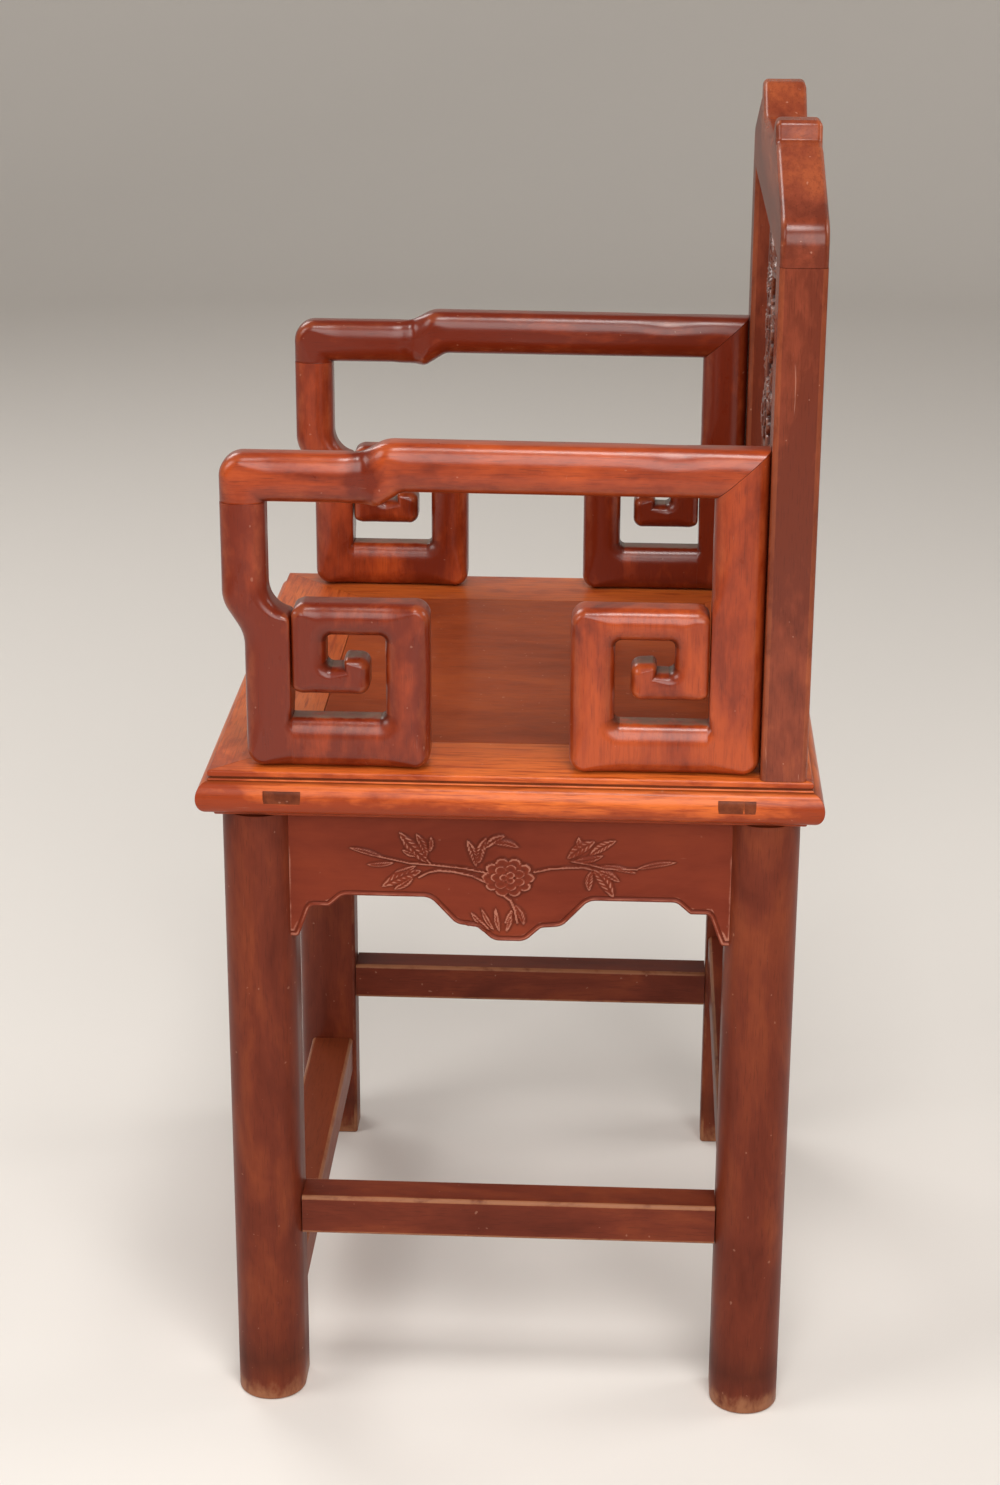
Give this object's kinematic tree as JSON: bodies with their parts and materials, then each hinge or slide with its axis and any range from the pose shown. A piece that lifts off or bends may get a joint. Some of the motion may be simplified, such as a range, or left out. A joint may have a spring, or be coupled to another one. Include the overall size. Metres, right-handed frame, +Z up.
{
  "type": "armchair",
  "caption": "Chinese hardwood armchair with a framed plank seat, round legs, shaped aprons, arms that end in square spiral scrolls, and a splat back under a stepped crest.",
  "frame": {"origin": "on the floor, at the bottom centre of the chair's bounding box", "axes": "+Z up, -Y to the front of the chair, where the sitter looks, +X to the sitter's left"},
  "size_m": [0.514, 0.45, 0.969],
  "materials": {
    "arm_wood": "polished red-brown hardwood",
    "leg_wood": "satin dark brown hardwood",
    "seat_edge_wood": "polished orange-brown hardwood, worn",
    "panel_wood": "polished brown hardwood",
    "back_wood": "satin red-brown hardwood",
    "carved_wood": "satin dark carved hardwood",
    "tenon_wood": "dark end grain"
  },
  "bodies": {
    "root": {"arm_rail_left": "arm_wood", "front_post_left": "arm_wood", "rear_post_left": "arm_wood", "front_scroll_left": "arm_wood", "rear_scroll_left": "arm_wood", "arm_rail_right": "arm_wood", "front_post_right": "arm_wood", "rear_post_right": "arm_wood", "front_scroll_right": "arm_wood", "rear_scroll_right": "arm_wood", "seat_rail_front": "seat_edge_wood", "leg_front_left": "leg_wood", "leg_front_right": "leg_wood", "seat_rail_back": "seat_edge_wood", "leg_back_left": "leg_wood", "leg_back_right": "leg_wood", "seat_rail_left": "seat_edge_wood", "seat_rail_right": "seat_edge_wood", "apron_front": "leg_wood", "apron_back": "leg_wood", "apron_left": "leg_wood", "apron_right": "leg_wood", "footrest": "leg_wood", "stretcher_back": "leg_wood", "stretcher_left": "leg_wood", "stretcher_right": "leg_wood", "batten_left": "leg_wood", "batten_right": "leg_wood", "seat_panel": "panel_wood", "stile_left": "back_wood", "tenon_wedge_left": "tenon_wood", "stile_right": "back_wood", "tenon_wedge_right": "tenon_wood", "crest_rail": "back_wood", "back_splat": "carved_wood"}
  },
  "joints": []
}
